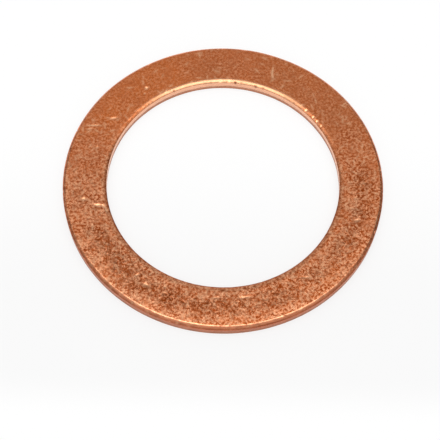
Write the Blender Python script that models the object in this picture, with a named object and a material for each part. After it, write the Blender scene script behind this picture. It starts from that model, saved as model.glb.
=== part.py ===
"""Flat copper sealing ring, blanked and pierced from sheet in one stroke.

One piece. The ring lies on its cut-off face with the axis on +Z and the
origin in the middle of that face. All dimensions are in metres.

The two rims carry the marks of the press tool, from the top face down: the
roll-over where the sheet was drawn into the die, which ends in a blunt corner,
a smooth land where the sheet was sheared, and the rougher break below it,
which stands back a little from the land.
"""

import math

import bmesh
import bpy

# Nominal sizes
BORE_DIAMETER = 0.016
OUTER_DIAMETER = 0.022
THICKNESS = 0.00085

# Outer rim, from the top face down
OUTER_SHOULDER_WIDTH = 0.00009  # the tight upper part of the roll
OUTER_SHOULDER_SLOPE = math.radians(28)  # where the tight part ends
OUTER_ROLL_WIDTH = 0.00020  # the flatter lower part
OUTER_ROLL_SLOPE = math.radians(48)  # of the roll where it meets the wall
OUTER_LAND_END = 0.00037  # height above the underside at which the land ends
OUTER_STEP_HEIGHT = 0.00004
OUTER_STEP_DEPTH = 0.00001
OUTER_LEAN = 0.0  # further set-back of the break at the underside
OUTER_FOOT_RADIUS = 0.00002

# Bore, from the top face down
BORE_ROLL_WIDTH = 0.00032
BORE_ROLL_SLOPE = math.radians(30)
BORE_LAND_END = 0.00034
BORE_STEP_HEIGHT = 0.00004
BORE_STEP_DEPTH = 0.000015
BORE_LEAN = 0.000015
BORE_FOOT_RADIUS = 0.00003

STEPS_AROUND = 144
ROLL_STEPS = 6
FOOT_STEPS = 3


def roll(arcs, steps):
    """Arcs from the level flat down to the wall, as (distance from wall, drop).

    Each arc is its width and the slope at its lower end.
    """
    across, drop, start = sum(width for width, _ in arcs), 0.0, 0.0
    points = [(across, drop)]
    share = steps // len(arcs)
    for width, end in arcs:
        radius = width / (math.sin(end) - math.sin(start))
        for i in range(1, share + 1):
            angle = start + (end - start) * i / share
            points.append(
                (
                    across - radius * (math.sin(angle) - math.sin(start)),
                    drop + radius * (math.cos(start) - math.cos(angle)),
                )
            )
        across, drop = points[-1]
        start = end
    return points


def foot(radius, steps):
    """Quarter circle from the wall (0, height radius) to the underside (radius, 0)."""
    points = []
    for i in range(steps + 1):
        angle = math.pi / 2 * i / steps
        points.append((radius * (1 - math.cos(angle)), radius * (1 - math.sin(angle))))
    return points


def rim(wall, inward, roll_arcs, land_end, step_size, lean, foot_radius):
    """One rim as (radius, height), from the top face to the underside.

    wall is the land's radius, and inward is -1 where the metal lies towards
    the axis (the outer rim) and +1 where it lies away from it (the bore).
    """
    step_height, step_depth = step_size
    points = [
        (wall + inward * across, THICKNESS - drop)
        for across, drop in roll(roll_arcs, ROLL_STEPS)
    ]
    points.append((wall, land_end))
    points.append((wall + inward * step_depth, land_end - step_height))
    back = step_depth + lean
    points.extend(
        (wall + inward * (back + across), height)
        for across, height in foot(foot_radius, FOOT_STEPS)
    )
    return points


def section():
    """The closed section, counter-clockwise from the outer roll's upper end."""
    outer = rim(
        OUTER_DIAMETER / 2,
        -1,
        (
            (OUTER_SHOULDER_WIDTH, OUTER_SHOULDER_SLOPE),
            (OUTER_ROLL_WIDTH, OUTER_ROLL_SLOPE),
        ),
        OUTER_LAND_END,
        (OUTER_STEP_HEIGHT, OUTER_STEP_DEPTH),
        OUTER_LEAN,
        OUTER_FOOT_RADIUS,
    )
    bore = rim(
        BORE_DIAMETER / 2,
        1,
        ((BORE_ROLL_WIDTH, BORE_ROLL_SLOPE),),
        BORE_LAND_END,
        (BORE_STEP_HEIGHT, BORE_STEP_DEPTH),
        BORE_LEAN,
        BORE_FOOT_RADIUS,
    )
    return outer + bore[::-1]


def copper():
    """Worn, slightly oxidised copper."""
    material = bpy.data.materials.new("copper")
    material.use_nodes = True
    shader = material.node_tree.nodes["Principled BSDF"]
    shader.inputs["Base Color"].default_value = (0.74, 0.25, 0.10, 1)
    shader.inputs["Metallic"].default_value = 1.0
    shader.inputs["Roughness"].default_value = 0.30
    return material


def sealing_ring():
    """The section spun once round the axis."""
    shape = bmesh.new()
    corners = [shape.verts.new((radius, 0, height)) for radius, height in section()]
    edges = [
        shape.edges.new((corners[i], corners[(i + 1) % len(corners)]))
        for i in range(len(corners))
    ]
    bmesh.ops.spin(
        shape,
        geom=corners + edges,
        cent=(0, 0, 0),
        axis=(0, 0, 1),
        angle=math.tau,
        steps=STEPS_AROUND,
        use_merge=True,
        use_duplicate=False,
    )
    bmesh.ops.remove_doubles(shape, verts=shape.verts, dist=1e-7)
    bmesh.ops.recalc_face_normals(shape, faces=shape.faces)
    mesh = bpy.data.meshes.new("sealing_ring")
    shape.to_mesh(mesh)
    shape.free()
    mesh.shade_smooth()
    mesh.set_sharp_from_angle(angle=math.radians(25))
    mesh.materials.append(copper())
    ring = bpy.data.objects.new("sealing_ring", mesh)
    bpy.context.scene.collection.objects.link(ring)
    return ring


for old in list(bpy.data.objects):
    bpy.data.objects.remove(old, do_unlink=True)

sealing_ring()
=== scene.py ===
"""Studio view of a flat copper sealing ring lying on a white table.

The ring is one stamped piece. Its mesh is a dense grid round the axis and
along the section, pushed in along its normals by the marks of tumbling,
handling and the press tool. Lengths are in millimetres until the mesh is made.
"""

import math

import bpy
import numpy as np
from mathutils import Matrix, Vector


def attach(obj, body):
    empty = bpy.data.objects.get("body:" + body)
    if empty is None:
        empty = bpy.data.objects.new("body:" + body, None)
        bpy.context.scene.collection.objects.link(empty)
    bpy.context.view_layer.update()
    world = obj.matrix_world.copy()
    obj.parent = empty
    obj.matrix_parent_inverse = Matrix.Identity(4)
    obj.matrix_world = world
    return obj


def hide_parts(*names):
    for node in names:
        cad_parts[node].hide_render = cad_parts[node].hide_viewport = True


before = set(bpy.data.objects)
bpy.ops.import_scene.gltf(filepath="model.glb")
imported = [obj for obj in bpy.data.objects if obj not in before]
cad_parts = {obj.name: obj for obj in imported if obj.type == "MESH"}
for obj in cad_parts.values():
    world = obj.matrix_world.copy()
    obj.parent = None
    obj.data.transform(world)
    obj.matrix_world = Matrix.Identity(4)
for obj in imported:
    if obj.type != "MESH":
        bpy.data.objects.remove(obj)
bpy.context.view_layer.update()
MM = 0.001


# ----------------------------------------------------------------- camera
def make_camera():
    """The photograph's view: looking along +Y and down, from 84 mm away."""
    outer = 11.0 * MM
    elevation = math.radians(62.91)
    roll = math.radians(1.356)
    target = Vector((-0.0135, -0.2356, -0.0136)) * outer
    away = Vector((0, -math.cos(elevation), math.sin(elevation)))
    ahead = -away
    right = Vector((1, 0, 0))
    up = right.cross(ahead)
    across = right * math.cos(roll) + up * math.sin(roll)
    upright = up * math.cos(roll) - right * math.sin(roll)
    data = bpy.data.cameras.new("camera")
    data.lens = 99.92
    data.sensor_width = 36.0
    data.clip_start, data.clip_end = 0.002, 20.0
    data.dof.use_dof = False
    camera = bpy.data.objects.new("camera", data)
    place = Matrix((across, upright, away)).transposed().to_4x4()
    place.translation = target + away * (7.593 * outer)
    camera.matrix_world = place
    bpy.context.scene.collection.objects.link(camera)
    bpy.context.scene.camera = camera


# ------------------------------------------------------------------ nodes
class Nodes:
    """Short ways to add and join shader nodes in one tree."""

    def __init__(self, tree):
        self.tree = tree

    def new(self, kind, **settings):
        node = self.tree.nodes.new(kind)
        for name, value in settings.items():
            setattr(node, name, value)
        return node

    def put(self, socket, value):
        if hasattr(value, "is_output"):
            self.tree.links.new(value, socket)
        elif isinstance(value, tuple) and len(value) == 3 and socket.type == "RGBA":
            socket.default_value = (*value, 1)
        else:
            socket.default_value = value

    def maths(self, what, *values, clamp=False):
        node = self.new("ShaderNodeMath", operation=what, use_clamp=clamp)
        for socket, value in zip(node.inputs, values):
            self.put(socket, value)
        return node.outputs[0]

    def times(self, a, b):
        return self.maths("MULTIPLY", a, b)

    def plus(self, a, b):
        return self.maths("ADD", a, b)

    def ramp(self, value, start, end, low=0.0, high=1.0):
        """low before start, high after end, smooth between."""
        node = self.new("ShaderNodeMapRange", interpolation_type="SMOOTHSTEP")
        numbers = {"From Min": start, "From Max": end, "To Min": low, "To Max": high}
        for name, number in numbers.items():
            node.inputs[name].default_value = number
        self.put(node.inputs["Value"], value)
        return node.outputs["Result"]

    def blend(self, amount, a, b, how="MIX"):
        node = self.new("ShaderNodeMix", data_type="RGBA", blend_type=how)
        self.put(node.inputs[0], amount)
        self.put(node.inputs[6], a)
        self.put(node.inputs[7], b)
        return node.outputs[2]

    def noise(self, place, scale, detail=2.0, rough=0.5, bend=0.0):
        node = self.new("ShaderNodeTexNoise")
        self.put(node.inputs["Vector"], place)
        for name, value in (
            ("Scale", scale),
            ("Detail", detail),
            ("Roughness", rough),
            ("Distortion", bend),
        ):
            node.inputs[name].default_value = value
        return node.outputs[0]

    def stretch(self, place, scale, turn=(0, 0, 0)):
        node = self.new("ShaderNodeMapping")
        self.put(node.inputs["Vector"], place)
        node.inputs["Scale"].default_value = scale
        node.inputs["Rotation"].default_value = turn
        return node.outputs[0]

    def curls(self, place, scale, width, bend=1.5):
        """Thin curled lines: 1 along each line, 0 away from it."""
        level = self.plus(self.noise(place, scale, 1.0, 0.5, bend), -0.5)
        return self.ramp(self.maths("ABSOLUTE", level), 0.0, width, 1.0, 0.0)

    def mark(self, name):
        return self.new("ShaderNodeAttribute", attribute_name=name).outputs["Fac"]


# ------------------------------------------------------------------ noise
class Noise:
    """Gradient noise of points in space, about -1 to 1, from a seeded table."""

    def __init__(self, seed):
        rng = np.random.default_rng(seed)
        self.order = rng.permutation(256)
        way = rng.normal(size=(256, 3))
        self.way = way / np.linalg.norm(way, axis=1)[:, None]

    def __call__(self, points):
        low = np.floor(points).astype(np.int64)
        part = points - low
        ease = part * part * part * (part * (part * 6 - 15) + 10)
        total = np.zeros(len(points))
        for corner in range(8):
            step = np.array([corner & 1, corner >> 1 & 1, corner >> 2 & 1])
            cell = (low + step) & 255
            index = self.order[
                (self.order[(self.order[cell[:, 0]] + cell[:, 1]) & 255] + cell[:, 2])
                & 255
            ]
            reach = ((part - step) * self.way[index]).sum(1)
            weight = np.where(step, ease, 1 - ease).prod(1)
            total += weight * reach
        return total * 1.5


def around(noise, angle, shift, lobes, height=0.0):
    """Noise that closes on itself round the ring; lobes sets how fine it is."""
    return noise(
        np.stack(
            [
                np.cos(angle) * lobes / 6.28 + shift,
                np.sin(angle) * lobes / 6.28,
                np.full_like(angle, height),
            ],
            1,
        )
    )


# ------------------------------------------------------------------ shape
AROUND = 1080
STRIPS = 3
TOP_ROWS = 40
BORE, OUTER, THICK = 8.0, 11.0, 0.85
START = math.radians(1.4)  # slope where the crown of the face meets a roll


def section_rows(angle):
    """Radius, height and kind of every row of the section at each angle.

    The rows run from the bore's foot up the bore wall, across the top face,
    down the outer wall and back under the ring. The press rolls both upper
    edges over, the bore's gently. Each roll ends in a corner above a sheared
    land, and below the land the metal has torn away a little deeper. The punch
    sat slightly off centre, so the outer roll is widest at -Y.
    """
    wave = Noise(3)
    n = [
        around(wave, angle, 5.0 * k + 2.5, lobes)
        for k, lobes in enumerate((22, 80, 26, 90, 24, 70, 60, 190, 55, 180, 16, 40))
    ]
    roll_out = 10.732 + 0.036 * (1 + np.sin(angle)) + 0.020 * n[0] + 0.014 * n[1]
    shoulder = 0.090 + 0.012 * n[3]
    turned = math.radians(28)
    end_out = math.radians(48) + 0.06 * n[2] + 0.03 * n[3]
    roll_bore = 8.375 - 0.030 * np.maximum(np.sin(angle), 0) + 0.022 * n[4] + 0.010 * n[5]
    end_bore = math.radians(30) + 0.05 * n[10] + 0.03 * n[11]
    land_out = 0.37 + 0.03 * n[6] + 0.02 * n[7]
    land_bore = 0.34 + 0.035 * n[8] + 0.02 * n[9]
    foot_out = 10.990 + 0.004 * n[6]
    foot_bore = 8.026 - 0.008 * n[8]
    crown_out, crown_bore = 9.25, 9.1

    def crown(radius):
        """Drop of the face: it curves away from its middle towards both rims."""
        t = np.clip((radius - crown_out) / (roll_out - crown_out), 0, 1)
        s = np.clip((crown_bore - radius) / (crown_bore - roll_bore), 0, 1)
        steep = math.tan(START)
        return steep * (
            (roll_out - crown_out) * t**3 / 3 + (crown_bore - roll_bore) * s**4 / 4
        )

    # The outer roll is two arcs: a tight shoulder and a flatter flank.
    size_shoulder = shoulder / (math.sin(turned) - math.sin(START))
    size_flank = (OUTER - roll_out - shoulder) / (np.sin(end_out) - math.sin(turned))
    size_bore = (roll_bore - BORE) / (np.sin(end_bore) - math.sin(START))
    ones = np.ones_like(angle)
    rows = []

    def add(radius, height, kind):
        rows.append((radius * ones, height * ones, kind))

    top_out = THICK - crown(roll_out)
    top_bore = THICK - crown(roll_bore)
    turned_height = top_out - size_shoulder * (math.cos(START) - math.cos(turned))
    corner_out = turned_height - size_flank * (math.cos(turned) - np.cos(end_out))
    corner_bore = top_bore - size_bore * (math.cos(START) - np.cos(end_bore))

    add(foot_bore + 0.030, 0.0, "foot")
    add(foot_bore + 0.009, 0.010, "foot")
    add(foot_bore, 0.035, "foot")
    for k in range(1, 5):
        t = k / 5
        add(
            foot_bore + (BORE + 0.014 - foot_bore) * t,
            0.035 + (land_bore - 0.070) * t,
            "bore_break",
        )
    add(BORE + 0.014, land_bore - 0.035, "bore_break")
    add(BORE, land_bore, "bore_land")
    for k in range(1, 4):
        add(BORE, land_bore + (corner_bore - 0.014 - land_bore) * k / 3, "bore_land")
    for k in range(9):
        a = end_bore + (START - end_bore) * k / 9
        add(
            roll_bore - size_bore * (np.sin(a) - math.sin(START)),
            top_bore - size_bore * (math.cos(START) - np.cos(a)),
            "bore_roll",
        )
    for k in range(TOP_ROWS + 1):
        radius = roll_bore + (roll_out - roll_bore) * k / TOP_ROWS
        add(radius, THICK - crown(radius), "top")
    for k in range(1, 6):
        a = START + (turned - START) * k / 5
        add(
            roll_out + size_shoulder * (math.sin(a) - math.sin(START)),
            top_out - size_shoulder * (math.cos(START) - math.cos(a)),
            "outer_roll",
        )
    for k in range(1, 7):
        a = turned + (end_out - turned) * k / 6
        add(
            roll_out + shoulder + size_flank * (np.sin(a) - math.sin(turned)),
            turned_height - size_flank * (math.cos(turned) - np.cos(a)),
            "outer_roll",
        )
    for k in range(4):
        add(OUTER, corner_out - 0.014 + (land_out - corner_out + 0.014) * k / 3, "outer_land")
    add(OUTER - 0.009, land_out - 0.035, "outer_break")
    for k in range(1, 5):
        t = k / 5
        add(
            OUTER - 0.009 + (foot_out - OUTER + 0.009) * t,
            land_out - 0.035 + (0.055 - land_out) * t,
            "outer_break",
        )
    add(foot_out, 0.020, "foot")
    add(foot_out - 0.004, 0.006, "foot")
    add(foot_out - 0.015, 0.0, "foot")
    for k in range(1, 5):
        add(foot_out - 0.015 + (foot_bore - foot_out + 0.045) * k / 5, 0.0, "under")
    radius = np.stack([r for r, _, _ in rows], 1)
    height = np.stack([h for _, h, _ in rows], 1)
    return radius, height, [kind for _, _, kind in rows]


# Marks of handling on the upper face: x, y, direction in degrees, half
# length, half width, depth, how bare the metal is, how dark the dirt is.
MARKS = (
    (-5.62, 7.32, 20, 0.12, 0.10, 0.034, 1.0, 0.0),
    (-5.72, 6.88, 80, 0.08, 0.06, 0.016, 0.8, 0.0),
    (-7.82, 4.74, 12, 0.26, 0.07, 0.022, 1.0, 0.0),
    (-9.15, 4.13, 2, 0.55, 0.06, 0.016, 1.0, 0.0),
    (-9.45, 3.83, 10, 0.18, 0.06, 0.014, 0.9, 0.0),
    (-8.80, 2.35, 30, 0.08, 0.07, 0.020, 1.0, 0.0),
    (3.37, 8.94, 83, 0.42, 0.07, 0.018, 1.0, 0.0),
    (3.40, 8.55, 83, 0.14, 0.07, 0.022, 1.0, 0.0),
    (-9.46, -1.76, 10, 0.17, 0.11, 0.028, 1.0, 0.0),
    (-8.48, -2.20, -8, 0.25, 0.09, 0.024, 1.0, 0.0),
    (-8.08, -2.24, -30, 0.20, 0.08, 0.020, 1.0, 0.0),
    (-7.86, -2.55, -65, 0.22, 0.07, 0.020, 1.0, 0.0),
    (-8.72, -3.80, 95, 0.24, 0.06, 0.016, 1.0, 0.0),
    (9.13, -2.87, 20, 0.20, 0.11, 0.024, 1.0, 0.0),
    (9.05, -1.20, 60, 0.16, 0.07, 0.016, 0.8, 0.0),
    (-5.50, -7.30, 30, 0.22, 0.07, 0.018, 0.9, 0.0),
    (-4.90, -8.00, -20, 0.24, 0.08, 0.018, 0.9, 0.0),
    (1.60, -8.72, 12, 0.40, 0.06, 0.016, 0.8, 0.0),
    (-0.30, -8.80, 8, 0.30, 0.06, 0.014, 0.7, 0.0),
    (5.60, -7.20, 8, 0.34, 0.06, 0.014, 0.8, 0.0),
    (-3.62, -8.62, -35, 0.14, 0.07, 0.016, 0.0, 1.0),
    (-3.20, -8.90, -30, 0.10, 0.06, 0.012, 0.0, 0.9),
    (-2.41, -9.18, -50, 0.16, 0.06, 0.020, 0.0, 1.0),
    (3.72, -8.38, 10, 0.14, 0.08, 0.012, 0.0, 0.9),
    (9.84, 0.00, 0, 0.14, 0.10, 0.012, 0.0, 0.9),
)

# Nicks on the rims: angle in degrees from +X, radius, drop below the face,
# size, depth, how bare, how dark.
NICKS = (
    (45.0, 8.18, 0.04, 0.080, 0.024, 1.0, 0.0),
    (39.8, 8.16, 0.04, 0.065, 0.022, 1.0, 0.0),
    (36.8, 8.17, 0.04, 0.065, 0.022, 1.0, 0.0),
    (33.4, 8.17, 0.04, 0.055, 0.018, 0.8, 0.0),
    (84.9, 8.03, 0.08, 0.080, 0.032, 0.0, 1.0),
    (74.4, 8.01, 0.10, 0.070, 0.032, 0.0, 1.0),
    (117.0, 8.03, 0.08, 0.060, 0.024, 0.0, 0.8),
    (-19.6, 10.98, 0.15, 0.090, 0.050, 0.3, 0.3),
    (-127.0, 10.90, 0.10, 0.080, 0.020, 0.4, 0.0),
    (-104.0, 10.97, 0.20, 0.070, 0.018, 0.0, 0.6),
    (-60.0, 10.92, 0.10, 0.075, 0.018, 0.3, 0.0),
    (160.0, 10.95, 0.15, 0.090, 0.030, 0.0, 0.4),
    (12.0, 8.02, 0.10, 0.060, 0.022, 0.0, 0.8),
    (170.0, 8.02, 0.10, 0.070, 0.022, 0.0, 0.8),
    (176.0, 8.05, 0.08, 0.050, 0.018, 0.0, 0.7),
)

# Patches of dark dirt in the dents: x, y, radius, strength.
PATCHES = (
    (-7.8, -4.8, 0.9, 0.55),
    (-6.3, -6.5, 1.1, 0.85),
    (-5.5, -7.8, 1.1, 0.90),
    (-3.6, -8.7, 0.9, 0.80),
    (-1.6, -9.2, 1.2, 0.55),
    (0.6, -9.2, 1.3, 0.45),
    (3.7, -8.5, 1.3, 0.55),
    (6.4, -6.8, 0.9, 0.25),
    (8.4, -4.4, 1.0, 0.38),
    (9.3, -2.2, 0.9, 0.30),
    (9.8, 0.0, 0.7, 0.40),
)

# Broad zones of the face's tarnish: x, y, radius, how orange, brown and pale.
ZONES = (
    (-5.3, 7.6, 2.4, 1.0, 0.0, 0.0),
    (-8.1, 4.6, 1.8, 0.7, 0.0, 0.0),
    (7.8, 5.2, 2.6, 0.0, 0.9, 0.0),
    (4.2, 8.3, 2.2, 0.2, 0.7, 0.0),
    (-0.9, 8.9, 1.4, 0.0, 0.7, 0.0),
    (-9.4, -1.4, 2.0, 0.0, 0.0, 0.8),
    (-4.6, -9.2, 2.4, 0.0, 0.0, 0.9),
    (7.0, -7.3, 1.8, 0.5, 0.0, 0.3),
    (0.5, -9.9, 2.0, 0.3, 0.0, 0.4),
    (9.6, -0.6, 1.6, 0.2, 0.4, 0.0),
)


def scatter(rng):
    """Strokes that tumbling left on the face, in the same form as MARKS."""
    strokes = []
    radius = np.sqrt(rng.uniform(8.2**2, 10.85**2, 9000))
    angle = rng.uniform(0, 2 * math.pi, 9000)
    x, y = radius * np.cos(angle), radius * np.sin(angle)
    front = 1 / (1 + np.exp((y - 2.0) / 1.3))
    middle = np.exp(-(((radius - 9.45) / 0.75) ** 2))
    dirt = np.zeros(9000)
    for px, py, size, strength in PATCHES:
        dirt += strength * np.exp(-(((x - px) ** 2 + (y - py) ** 2) / size**2))
    dirt = np.clip(dirt, 0, 1)
    chance, turn, size, pick = rng.random((4, 9000))
    for k in range(9000):
        strong = 0.25 + 0.75 * front[k]
        if chance[k] > strong:
            continue
        dark = pick[k] < 0.05 + 0.10 * front[k] * (0.5 + middle[k]) + 0.50 * dirt[k] * middle[k]
        bright = not dark and pick[k] > 0.86 - 0.06 * front[k]
        strokes.append(
            (
                x[k],
                y[k],
                180 * turn[k],
                (0.10 if bright else 0.07) + 0.13 * size[k] ** 2,
                0.048 + 0.012 * size[k],
                (0.0006 + 0.0008 * size[k]) * strong,
                0.20 + 0.50 * size[k] ** 1.5 if bright else 0.0,
                (0.28 + 0.62 * size[k]) * strong if dark else 0.0,
            )
        )
    return strokes


def relief(place, out, kinds, angle):
    """How far each point is pushed in, and how bare or dirty the metal is there."""
    steps, rows = place.shape[:2]
    rng = np.random.default_rng(20)
    flat = place.reshape(-1, 3)

    def noise(seed, scale, shift=0.0):
        return Noise(seed)(flat * scale + shift).reshape(steps, rows)

    is_top = np.array([k in ("top", "bore_roll", "outer_roll") for k in kinds])
    is_land = np.array([k in ("bore_land", "outer_land") for k in kinds])
    is_break = np.array([k in ("bore_break", "outer_break") for k in kinds])
    front = 1 / (1 + np.exp((place[:, :, 1] - 2.0) / 1.4))
    depth = np.zeros((steps, rows))
    bare = np.zeros((steps, rows))
    dirt = np.zeros((steps, rows))
    face = 0.010 + 0.0060 * noise(31, 0.42) + 0.0016 * noise(32, 1.3)
    face += (0.25 + 0.75 * front) * (0.0005 * noise(33, 3.2) + 0.0003 * noise(34, 7.5))
    depth += is_top * face
    score = around(Noise(35), angle, 3.0, 420) + 0.6 * around(Noise(36), angle, 9.0, 900)
    depth += is_land * (0.0035 + 0.0016 * score[:, None])
    torn = noise(37, 5.5) + 0.6 * noise(38, 11.0)
    depth += is_break * (0.012 + 0.009 * torn)

    first, last = kinds.index("bore_roll"), len(kinds) - 1 - kinds[::-1].index("outer_roll")
    spread = np.linalg.norm(place[:, :, :2], axis=2).mean(0)[first : last + 1]

    def stamp(centre, way, long, wide, push, clean, dark, low, high, reach):
        mid = int(round(math.atan2(centre[1], centre[0]) / (2 * math.pi) * steps))
        span = int(reach / (2 * math.pi * 8.0 / steps)) + 1
        near = np.arange(mid - span, mid + span + 1) % steps
        part = place[near][:, low:high] - centre
        along = part @ way
        rest = (part * part).sum(2) - along**2
        shape = np.exp(-(along**2) / long**2 - rest / wide**2)
        index = np.ix_(near, np.arange(low, high))
        depth[index] += push * shape
        bare[index] = np.maximum(bare[index], clean * np.minimum(1, 1.3 * shape))
        dirt[index] = np.maximum(dirt[index], dark * np.minimum(1, 1.2 * shape))

    for x, y, turn, long, wide, push, clean, dark in [*scatter(rng), *MARKS]:
        turn = math.radians(turn)
        reach = 2.2 * long
        radius = math.hypot(x, y)
        low = first + max(0, np.searchsorted(spread, radius - reach) - 1)
        high = first + min(len(spread), np.searchsorted(spread, radius + reach) + 1)
        row = min(len(spread) - 1, int(np.searchsorted(spread, radius)))
        at = int(round(math.atan2(y, x) / (2 * math.pi) * steps)) % steps
        centre = np.array([x, y, place[at, first + row, 2]])
        way = np.array([math.cos(turn), math.sin(turn), 0.0])
        stamp(centre, way, long, wide, push, clean, dark, low, high, reach)
    small = [
        (
            rng.uniform(0, 360),
            *(
                (OUTER - rng.uniform(0.02, 0.16), rng.uniform(0.05, 0.20))
                if rng.random() < 0.6
                else (BORE + rng.uniform(0.0, 0.12), rng.uniform(0.05, 0.14))
            ),
            rng.uniform(0.05, 0.10),
            rng.uniform(0.004, 0.012),
            rng.uniform(0.0, 0.6),
            rng.uniform(0.0, 0.5),
        )
        for _ in range(260)
    ]
    for turn, radius, drop, size, push, clean, dark in [*small, *NICKS]:
        turn = math.radians(turn)
        centre = np.array(
            [radius * math.cos(turn), radius * math.sin(turn), THICK - drop]
        )
        stamp(
            centre, np.array([0.0, 0.0, 1.0]), size, size, push, clean, dark, 0, rows, 2.4 * size
        )
    floor_rows = np.array([k in ("under", "foot") for k in kinds])
    depth[:, floor_rows] = 0.0
    grime = np.zeros((steps, rows))
    for x, y, size, strength in PATCHES:
        gap = (place[:, :, 0] - x) ** 2 + (place[:, :, 1] - y) ** 2
        grime += strength * np.exp(-gap / size**2)
    from_axis = np.linalg.norm(place[:, :, :2], axis=2)
    middle = np.exp(-(((from_axis - 9.4) / 0.85) ** 2))
    grime = is_top * (0.08 + front * (0.02 + 0.22 * middle) + 1.50 * grime * middle)
    return (
        np.clip(depth, 0, None),
        np.clip(bare, 0, 1),
        np.clip(dirt, 0, 1),
        np.clip(grime, 0, 1),
    )


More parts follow.
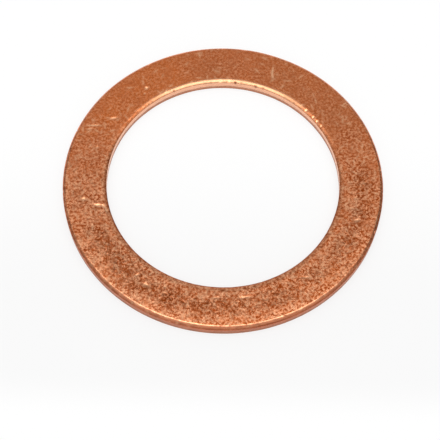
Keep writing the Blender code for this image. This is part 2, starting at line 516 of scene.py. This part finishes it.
def build_ring():
    angle = np.arange(AROUND) * (2 * math.pi / AROUND)
    radius, height, kinds = section_rows(angle)
    rows = radius.shape[1]
    place = np.stack(
        [radius * np.cos(angle)[:, None], radius * np.sin(angle)[:, None], height], 2
    )
    across = np.roll(place, -1, 0) - np.roll(place, 1, 0)
    along = np.roll(place, -1, 1) - np.roll(place, 1, 1)
    out = np.cross(along, across)
    out /= np.linalg.norm(out, axis=2)[:, :, None]
    depth, bare, dirt, grime = relief(place, out, kinds, angle)
    shaped = place - out * depth[:, :, None]
    shaped[:, :, 2] = np.clip(shaped[:, :, 2], 0, THICK)

    i = np.arange(AROUND)[:, None]
    j = np.arange(rows)[None, :]
    i2, j2 = (i + 1) % AROUND, (j + 1) % rows
    quads = np.stack(
        [i * rows + j, i * rows + j2, i2 * rows + j2, i2 * rows + j], 2
    ).reshape(-1, 4)
    mesh = bpy.data.meshes.new("copper_ring")
    mesh.from_pydata((shaped.reshape(-1, 3) * MM).tolist(), [], quads.tolist())
    mesh.update()
    mesh.shade_smooth()

    # Flat map of the surface: the ring is cut into strips laid one above another.
    step = np.linalg.norm(np.roll(place, -1, 1) - place, axis=2).mean(0)
    length = np.concatenate([[0], np.cumsum(step)])
    length /= length[-1]
    arc = AROUND // STRIPS
    strip = i // arc
    along_u = lambda k: 0.01 + 0.98 * (k - strip * arc) / arc
    up_v = lambda k: (strip + 0.03 + 0.94 * length[k]) / STRIPS
    corners = [(i, j), (i, j + 1), (i + 1, j + 1), (i + 1, j)]
    flat_map = np.stack(
        [
            np.stack(np.broadcast_arrays(along_u(a) + 0.0 * b, up_v(b) + 0.0 * a), 2)
            for a, b in corners
        ],
        2,
    )
    layer = mesh.uv_layers.new(name="OFBake")
    layer.data.foreach_set("uv", flat_map.reshape(-1).astype(np.float32))

    def mask(*chosen):
        return np.broadcast_to(
            np.array([float(k in chosen) for k in kinds]), (AROUND, rows)
        ).copy()

    wave = Noise(51)
    # Painted shade on the steep ends of both rolls, standing in for the dark room they reflect: heaviest
    # towards -Y and at +X.
    edge_shade = np.zeros((AROUND, rows))
    steep_out = kinds.index("outer_land")
    to_side = np.where(np.cos(angle) > 0, 0.3, -0.1) * np.abs(np.cos(angle)) ** 1.5
    for offset, weight in ((-6, 0.3), (-5, 0.5), (-4, 0.6), (-3, 0.7), (-2, 0.7), (-1, 0.7)):
        edge_shade[:, steep_out + offset] = weight * (0.75 - 0.15 * np.sin(angle) + to_side)
    gentle = kinds.index("bore_roll")
    # The bore roll's painted shade lies on the side where its corner turns away from the light.
    turned_from_light = np.clip(0.5 - 0.9 * np.sin(angle), 0, 1)
    for offset, weight in ((-1, 0.5), (0, 0.5), (1, 0.3), (2, 0.1)):
        edge_shade[:, gentle + offset] = weight * turned_from_light
    # Above that painted shade the bore roll is made a little brighter, on the same side.
    bare[:, gentle + 4 : gentle + 8] += 0.08 * turned_from_light[:, None]
    # Painted shade: a dark line where the outer roll ends and the sheared land begins, standing in for
    # the dark room that the turn reflects.
    seam_shade = np.zeros((AROUND, rows))
    first_land = kinds.index("outer_land")
    varied = 0.75 + 0.35 * around(wave, angle, 2.0, 30) + 0.2 * around(wave, angle, 8.0, 120)
    for offset, weight in ((-3, 0.10), (-2, 0.50), (-1, 0.9), (0, 0.8), (1, 0.15)):
        seam_shade[:, first_land + offset] = weight * np.clip(varied, 0.2, 1)
    # The same painted shade at the bore, thin, where its corner faces away from the light.
    for offset, weight in ((-1, 0.35), (0, 0.60), (1, 0.55), (2, 0.35), (3, 0.12)):
        seam_shade[:, gentle + offset] = weight * turned_from_light
    zones = np.zeros((3, AROUND, rows))
    for x, y, size, *amounts in ZONES:
        near = np.exp(-((place[:, :, 0] - x) ** 2 + (place[:, :, 1] - y) ** 2) / size**2)
        for zone, amount in zip(zones, amounts):
            zone += amount * near
    zones = np.clip(zones, 0, 1)
    worn = 0.32 + 0.73 / (1 + np.exp((place[:, :, 1] - 2.0) / 1.6))
    drift = Noise(52)(place.reshape(-1, 3) * 0.9).reshape(AROUND, rows)
    worn *= np.clip(0.96 + 0.50 * drift, 0.45, 1.3)
    # Wear gathers along the middle of the face, and is lighter at -X.
    from_axis = np.hypot(place[:, :, 0], place[:, :, 1])
    worn *= 0.90 + 0.22 * np.exp(-(((from_axis - 9.4) / 0.7) ** 2))
    at_left = (place[:, :, 0] + 9.2) ** 2 + place[:, :, 1] ** 2
    worn *= 1 - 0.22 * np.exp(-at_left / 2.5**2)

    def sheen_around(towards, start, end, elsewhere):
        """Where round the ring a roll takes its pale colour, partly rubbed wear and partly a painted
        highlight: 1 there, less elsewhere.
        """
        t = np.clip((towards - start) / (end - start), 0, 1)
        return elsewhere + (1 - elsewhere) * t * t * (3 - 2 * t)

    marks = {
        "orange": zones[0],
        "brown": zones[1],
        "pale": zones[2],
        "worn": worn,
        "bare_metal": bare,
        "dirt": dirt,
        "grime": grime,
        # The outer roll's pale colour is rubbed wear plus painted highlight, and the bore roll's is
        # painted highlight; both are set where the roll reflects the softbox.
        "rolled_sheen": mask("outer_roll") * sheen_around(-np.sin(angle), 0.50, 0.88, 0.30)[:, None],
        "bore_roll_sheen": mask("bore_roll") * sheen_around(np.sin(angle), 0.60, 0.92, 0.15)[:, None],
        "outer_land": mask("outer_land"),
        "bore_land": mask("bore_land", "bore_break"),
        "torn": mask("outer_break", "foot") + 0.8 * mask("bore_break"),
        "drawn": mask("outer_roll", "outer_land", "outer_break")
        + 0.4 * mask("bore_land", "bore_break"),
        "oiled": mask("top", "bore_roll", "outer_roll"),
        # The next two masks are painted shade: the corner lines and the rolls' steep ends.
        "seam_shade": seam_shade,
        "edge_shade": edge_shade,
    }
    for name, values in marks.items():
        layer = mesh.attributes.new(name, "FLOAT", "POINT")
        layer.data.foreach_set("value", values.reshape(-1).astype(np.float32))

    ring = bpy.data.objects.new("copper_ring", mesh)
    bpy.context.scene.collection.objects.link(ring)
    print("ring:", rows, "rows,", 2 * len(quads), "triangles")
    return ring


# --------------------------------------------------------------- material
FACE = (0.655, 0.180, 0.057)
FACE_ORANGE = (0.725, 0.184, 0.041)
FACE_BROWN = (0.545, 0.158, 0.050)
FACE_PALE = (0.700, 0.230, 0.094)
# Flecks: rubbed metal and oxide, with painted glints and painted shade.
PALE_FLECK_GLINT = (1.000, 0.450, 0.235)
DEEP_FLECK_SHADE = (0.360, 0.056, 0.003)
FRESH = (1.00, 0.56, 0.32)
# Pale roll colours: rubbed edge and painted highlight.
ROLLED_SHEEN = (0.635, 0.270, 0.146)
BORE_ROLL_SHEEN = (0.525, 0.262, 0.140)
# Painted shade for the steep ends of the rolls.
EDGE_SHADE = (0.600, 0.155, 0.056)
# Outer land and torn metal are dull, and are also set darker as painted shade for the floor beside the
# foot, which the glowing table lights.
OUTER_LAND = (0.390, 0.107, 0.037)
BORE_LAND = (0.675, 0.372, 0.238)
TORN = (0.375, 0.156, 0.086)
# Colour of the painted shade line at both rolls' corners.
SEAM_SHADE = (0.250, 0.048, 0.012)
DIRT = (0.190, 0.036, 0.005)


def copper_material():
    """Annealed copper: tarnished face; worn edges brighter, partly as a painted highlight; painted shade
    on the rolls' steep ends; dull torn metal, also darkened as painted shade.
    """
    material = bpy.data.materials.new("worn_copper")
    material.use_nodes = True
    n = Nodes(material.node_tree)
    shader = material.node_tree.nodes["Principled BSDF"]
    where = n.stretch(n.new("ShaderNodeTexCoord").outputs["Object"], (1000, 1000, 1000))

    broad = n.noise(where, 0.33, 2.0, 0.5, 0.4)
    cloud = n.noise(where, 1.1, 3.0, 0.55, 0.3)
    grain = n.noise(where, 5.5, 3.0, 0.6)
    speck = n.noise(where, 13.0, 2.0, 0.6)

    patchy = n.ramp(cloud, 0.35, 0.65, 0.7, 1.0)
    orange = n.plus(n.mark("orange"), n.ramp(broad, 0.50, 0.62, 0.0, 0.3))
    colour = n.blend(n.maths("MINIMUM", n.times(orange, patchy), 1.0), FACE, FACE_ORANGE)
    brown = n.plus(n.mark("brown"), n.ramp(cloud, 0.50, 0.66, 0.0, 0.4))
    colour = n.blend(n.maths("MINIMUM", n.times(brown, patchy), 1.0), colour, FACE_BROWN)
    colour = n.blend(n.times(n.mark("pale"), patchy), colour, FACE_PALE)
    # Tumbling left short curled strokes, rubbed pale or filled with dark oxide. Their pale and dark
    # flecks also carry painted glints and painted shade in place of light off the small facets.
    fleck = n.plus(n.noise(where, 6.0, 2.5, 0.6), -0.5)
    rubbed = n.curls(where, 4.1, 0.060)
    filled = n.curls(n.stretch(where, (1, 1, 1), (0.9, 0.5, 1.7)), 4.1, 0.060)
    strokes = n.plus(fleck, n.times(n.plus(rubbed, n.times(filled, -1.0)), 0.11))
    amount = n.times(n.mark("worn"), n.ramp(strokes, -0.03, 0.12))
    colour = n.blend(n.maths("MINIMUM", amount, 1.0), colour, PALE_FLECK_GLINT)
    amount = n.times(n.mark("worn"), n.ramp(strokes, 0.02, -0.14))
    colour = n.blend(n.maths("MINIMUM", amount, 1.0), colour, DEEP_FLECK_SHADE)
    shade = n.plus(
        n.ramp(grain, 0.3, 0.7, -0.04, 0.04), n.ramp(speck, 0.3, 0.7, -0.02, 0.02)
    )
    grey = n.new("ShaderNodeCombineColor")
    level = n.plus(1.0, shade)
    for socket in grey.inputs[:3]:
        n.put(socket, level)
    colour = n.blend(1.0, colour, grey.outputs[0], "MULTIPLY")
    worm = n.noise(where, 4.6, 1.5, 0.5, 1.1)
    worm = n.maths("ABSOLUTE", n.plus(worm, -0.5))
    groove = n.ramp(worm, 0.0, 0.075, 1.0, 0.0)
    stain = n.times(n.mark("grime"), n.plus(n.times(groove, 0.85), n.ramp(grain, 0.35, 0.60, 0.50, 0.0)))
    colour = n.blend(stain, colour, DIRT)
    # Rolls paled where they reflect the softbox: worn metal and painted highlight.
    colour = n.blend(n.times(n.mark("rolled_sheen"), 0.9), colour, ROLLED_SHEEN)
    colour = n.blend(n.times(n.mark("bore_roll_sheen"), 0.9), colour, BORE_ROLL_SHEEN)
    # Painted shade on the steep ends of the rolls.
    colour = n.blend(n.times(n.mark("edge_shade"), 0.9), colour, EDGE_SHADE)
    # Walls: dull metal, partly darkened as painted shade.
    colour = n.blend(n.mark("outer_land"), colour, OUTER_LAND)
    colour = n.blend(n.mark("bore_land"), colour, BORE_LAND)
    colour = n.blend(n.mark("torn"), colour, TORN)
    # Painted shade: dark line where the outer roll ends and at the bore's corner.
    colour = n.blend(n.mark("seam_shade"), colour, SEAM_SHADE)
    # Drawn streaks round both walls and the outer roll.
    streak = n.noise(n.stretch(where, (1.6, 1.6, 13.0)), 1.0, 2.0, 0.6)
    streak = n.plus(n.times(n.mark("drawn"), n.ramp(streak, 0.34, 0.64, -0.18, 0.14)), 1.0)
    grey = n.new("ShaderNodeCombineColor")
    for socket in grey.inputs[:3]:
        n.put(socket, streak)
    colour = n.blend(1.0, colour, grey.outputs[0], "MULTIPLY")
    colour = n.blend(n.times(n.mark("bare_metal"), 0.8), colour, FRESH)
    dark = n.times(n.mark("dirt"), n.ramp(grain, 0.30, 0.55, 0.55, 1.0))
    colour = n.blend(dark, colour, DIRT)
    n.put(shader.inputs["Base Color"], colour)

    shader.inputs["Metallic"].default_value = 1.0
    # The thin film of preservative oil that such rings are packed with. It lies
    # on the face and the rolls, follows every small dent, and has soaked away
    # where oxide fills the strokes.
    film = n.ramp(n.times(strokes, n.plus(n.mark("worn"), 0.3)), -0.12, 0.12, 0.14, 0.40)
    film = n.times(film, n.maths("MAXIMUM", n.plus(1.0, n.times(stain, -1.2)), 0.1))
    film = n.times(film, n.plus(1.0, n.times(n.mark("dirt"), -0.85)))
    n.put(shader.inputs["Coat Weight"], n.times(n.mark("oiled"), film))
    shader.inputs["Coat Roughness"].default_value = 0.13
    rough = n.ramp(cloud, 0.3, 0.7, 0.22, 0.30)
    rough = n.plus(rough, n.ramp(speck, 0.3, 0.7, -0.02, 0.03))
    rough = n.plus(rough, n.times(n.mark("rolled_sheen"), -0.06))
    rough = n.plus(rough, n.times(n.mark("bore_roll_sheen"), -0.02))
    rough = n.plus(rough, n.times(n.mark("outer_land"), 0.16))
    rough = n.plus(rough, n.times(n.mark("torn"), 0.28))
    rough = n.plus(rough, n.times(n.mark("seam_shade"), 0.12))
    rough = n.plus(rough, n.times(n.mark("dirt"), 0.18))
    n.put(shader.inputs["Roughness"], rough)

    fine = n.plus(n.times(grain, 0.8), n.times(speck, 0.55))
    fine = n.plus(fine, n.times(groove, -0.45))
    scratch = n.noise(
        n.stretch(where, (3.0, 26.0, 3.0), (0, 0, 0.5)), 1.0, 1.0, 0.5, 0.6
    )
    cross = n.noise(
        n.stretch(where, (24.0, 2.5, 3.0), (0, 0, 0.3)), 1.0, 1.0, 0.5, 0.6
    )
    lines = n.plus(n.ramp(scratch, 0.60, 0.75), n.ramp(cross, 0.62, 0.78))
    bump = n.new("ShaderNodeBump")
    bump.inputs["Strength"].default_value = 1.0
    bump.inputs["Distance"].default_value = 0.0000013
    n.put(bump.inputs["Height"], n.plus(fine, n.times(lines, -0.25)))
    n.put(shader.inputs["Normal"], bump.outputs[0])
    n.put(shader.inputs["Coat Normal"], bump.outputs[0])
    return material


# ------------------------------------------------------------------ stage
def make_stage():
    floor_mesh = bpy.data.meshes.new("floor")
    side = 3.0
    floor_mesh.from_pydata(
        [(-side, -side, 0), (side, -side, 0), (side, side, 0), (-side, side, 0)],
        [],
        [(0, 1, 2, 3)],
    )
    floor = bpy.data.objects.new("floor", floor_mesh)
    floor.location.z = -0.00001
    material = bpy.data.materials.new("white_table")
    material.use_nodes = True
    shader = material.node_tree.nodes["Principled BSDF"]
    # A white acrylic top lit from below. It throws more light on the ring than the exposure shows of it,
    # so what is seen directly is held just under white, with a painted shadow
    # dimming it in a band along the ring's near side.
    n = Nodes(material.node_tree)
    place = n.new("ShaderNodeSeparateXYZ")
    n.put(place.inputs[0], n.new("ShaderNodeTexCoord").outputs["Object"])
    # Painted shadow: lower camera-seen brightness in a band along the ring's near side.
    level = n.plus(n.ramp(place.outputs[1], -0.009, 0.005), n.ramp(place.outputs[1], -0.0138, -0.0170))
    seen = n.new("ShaderNodeLightPath").outputs["Is Camera Ray"]
    n.put(shader.inputs["Base Color"], n.blend(seen, (0.95, 0.95, 0.95), (0.22, 0.22, 0.22)))
    shader.inputs["Roughness"].default_value = 0.9
    shader.inputs["Specular IOR Level"].default_value = 0.0
    n.put(shader.inputs["Emission Color"], n.blend(seen, (1.0, 0.92, 0.86), (1.0, 1.0, 1.0)))
    shown = n.times(seen, n.plus(0.329, n.times(level, 0.048)))
    n.put(shader.inputs["Emission Strength"], n.plus(0.41, shown))
    floor_mesh.materials.append(material)
    bpy.context.scene.collection.objects.link(floor)


def make_light():
    """One softbox overhead, a glow round its back edge, and a pale room.

    u and v are where a direction meets a ceiling one unit up, along X and Y.
    """
    world = bpy.data.worlds.new("studio")
    bpy.context.scene.world = world
    world.use_nodes = True
    n = Nodes(world.node_tree)
    world.node_tree.nodes.clear()
    split = n.new("ShaderNodeSeparateXYZ")
    n.put(split.inputs[0], n.new("ShaderNodeTexCoord").outputs["Generated"])
    x, y, z = split.outputs
    up = n.maths("MAXIMUM", z, 0.02)
    side = n.maths("ABSOLUTE", n.maths("DIVIDE", x, up))
    v = n.maths("DIVIDE", y, up)
    box = n.times(
        n.ramp(side, 0.24, 0.46, 1.0, 0.0),
        n.times(n.ramp(v, 0.12, 0.25, 1.0, 0.0), n.ramp(v, -0.27, -0.13)),
    )
    halo = n.times(
        n.ramp(side, 0.5, 1.4, 1.0, 0.0),
        n.times(n.ramp(v, 0.20, 0.43, 1.0, 0.0), n.ramp(v, -1.0, -0.4)),
    )
    room = n.ramp(z, 0.0, 0.8, 0.42, 0.54)
    # The wall behind the table is lit a little, and dark cards stand at both sides.
    sideways = n.maths("ABSOLUTE", x)
    behind = n.times(n.ramp(y, 0.2, 0.6), n.ramp(z, 0.35, 0.65, 1.0, 0.0))
    behind = n.times(behind, n.ramp(sideways, 0.3, 0.6, 1.0, 0.0))
    room = n.plus(room, n.times(behind, 0.18))
    room = n.plus(room, n.times(n.ramp(y, -0.3, -0.7), 0.15))
    card = n.times(n.ramp(sideways, 0.36, 0.62), n.ramp(y, -0.25, 0.15))
    card = n.times(card, n.ramp(x, -0.1, 0.1, -0.28, -0.50))
    room = n.times(room, n.plus(1.0, card))
    glow = n.plus(room, n.plus(n.times(box, 2.7), n.times(halo, 0.40)))
    lit = n.new("ShaderNodeBackground")
    n.put(lit.inputs["Strength"], n.times(glow, 1.15))
    lit.inputs["Color"].default_value = (1, 1, 1, 1)
    seen = n.new("ShaderNodeBackground")
    seen.inputs["Color"].default_value = (0.97, 0.97, 0.97, 1)
    mix = n.new("ShaderNodeMixShader")
    n.put(mix.inputs[0], n.new("ShaderNodeLightPath").outputs["Is Camera Ray"])
    n.put(mix.inputs[1], lit.outputs[0])
    n.put(mix.inputs[2], seen.outputs[0])
    n.put(n.new("ShaderNodeOutputWorld").inputs["Surface"], mix.outputs[0])


make_camera()
make_stage()
make_light()
ring = build_ring()
ring.data.materials.append(copper_material())
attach(ring, "root")
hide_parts("sealing_ring")

view = bpy.context.scene.view_settings
view.view_transform = "Standard"
view.look = "None"
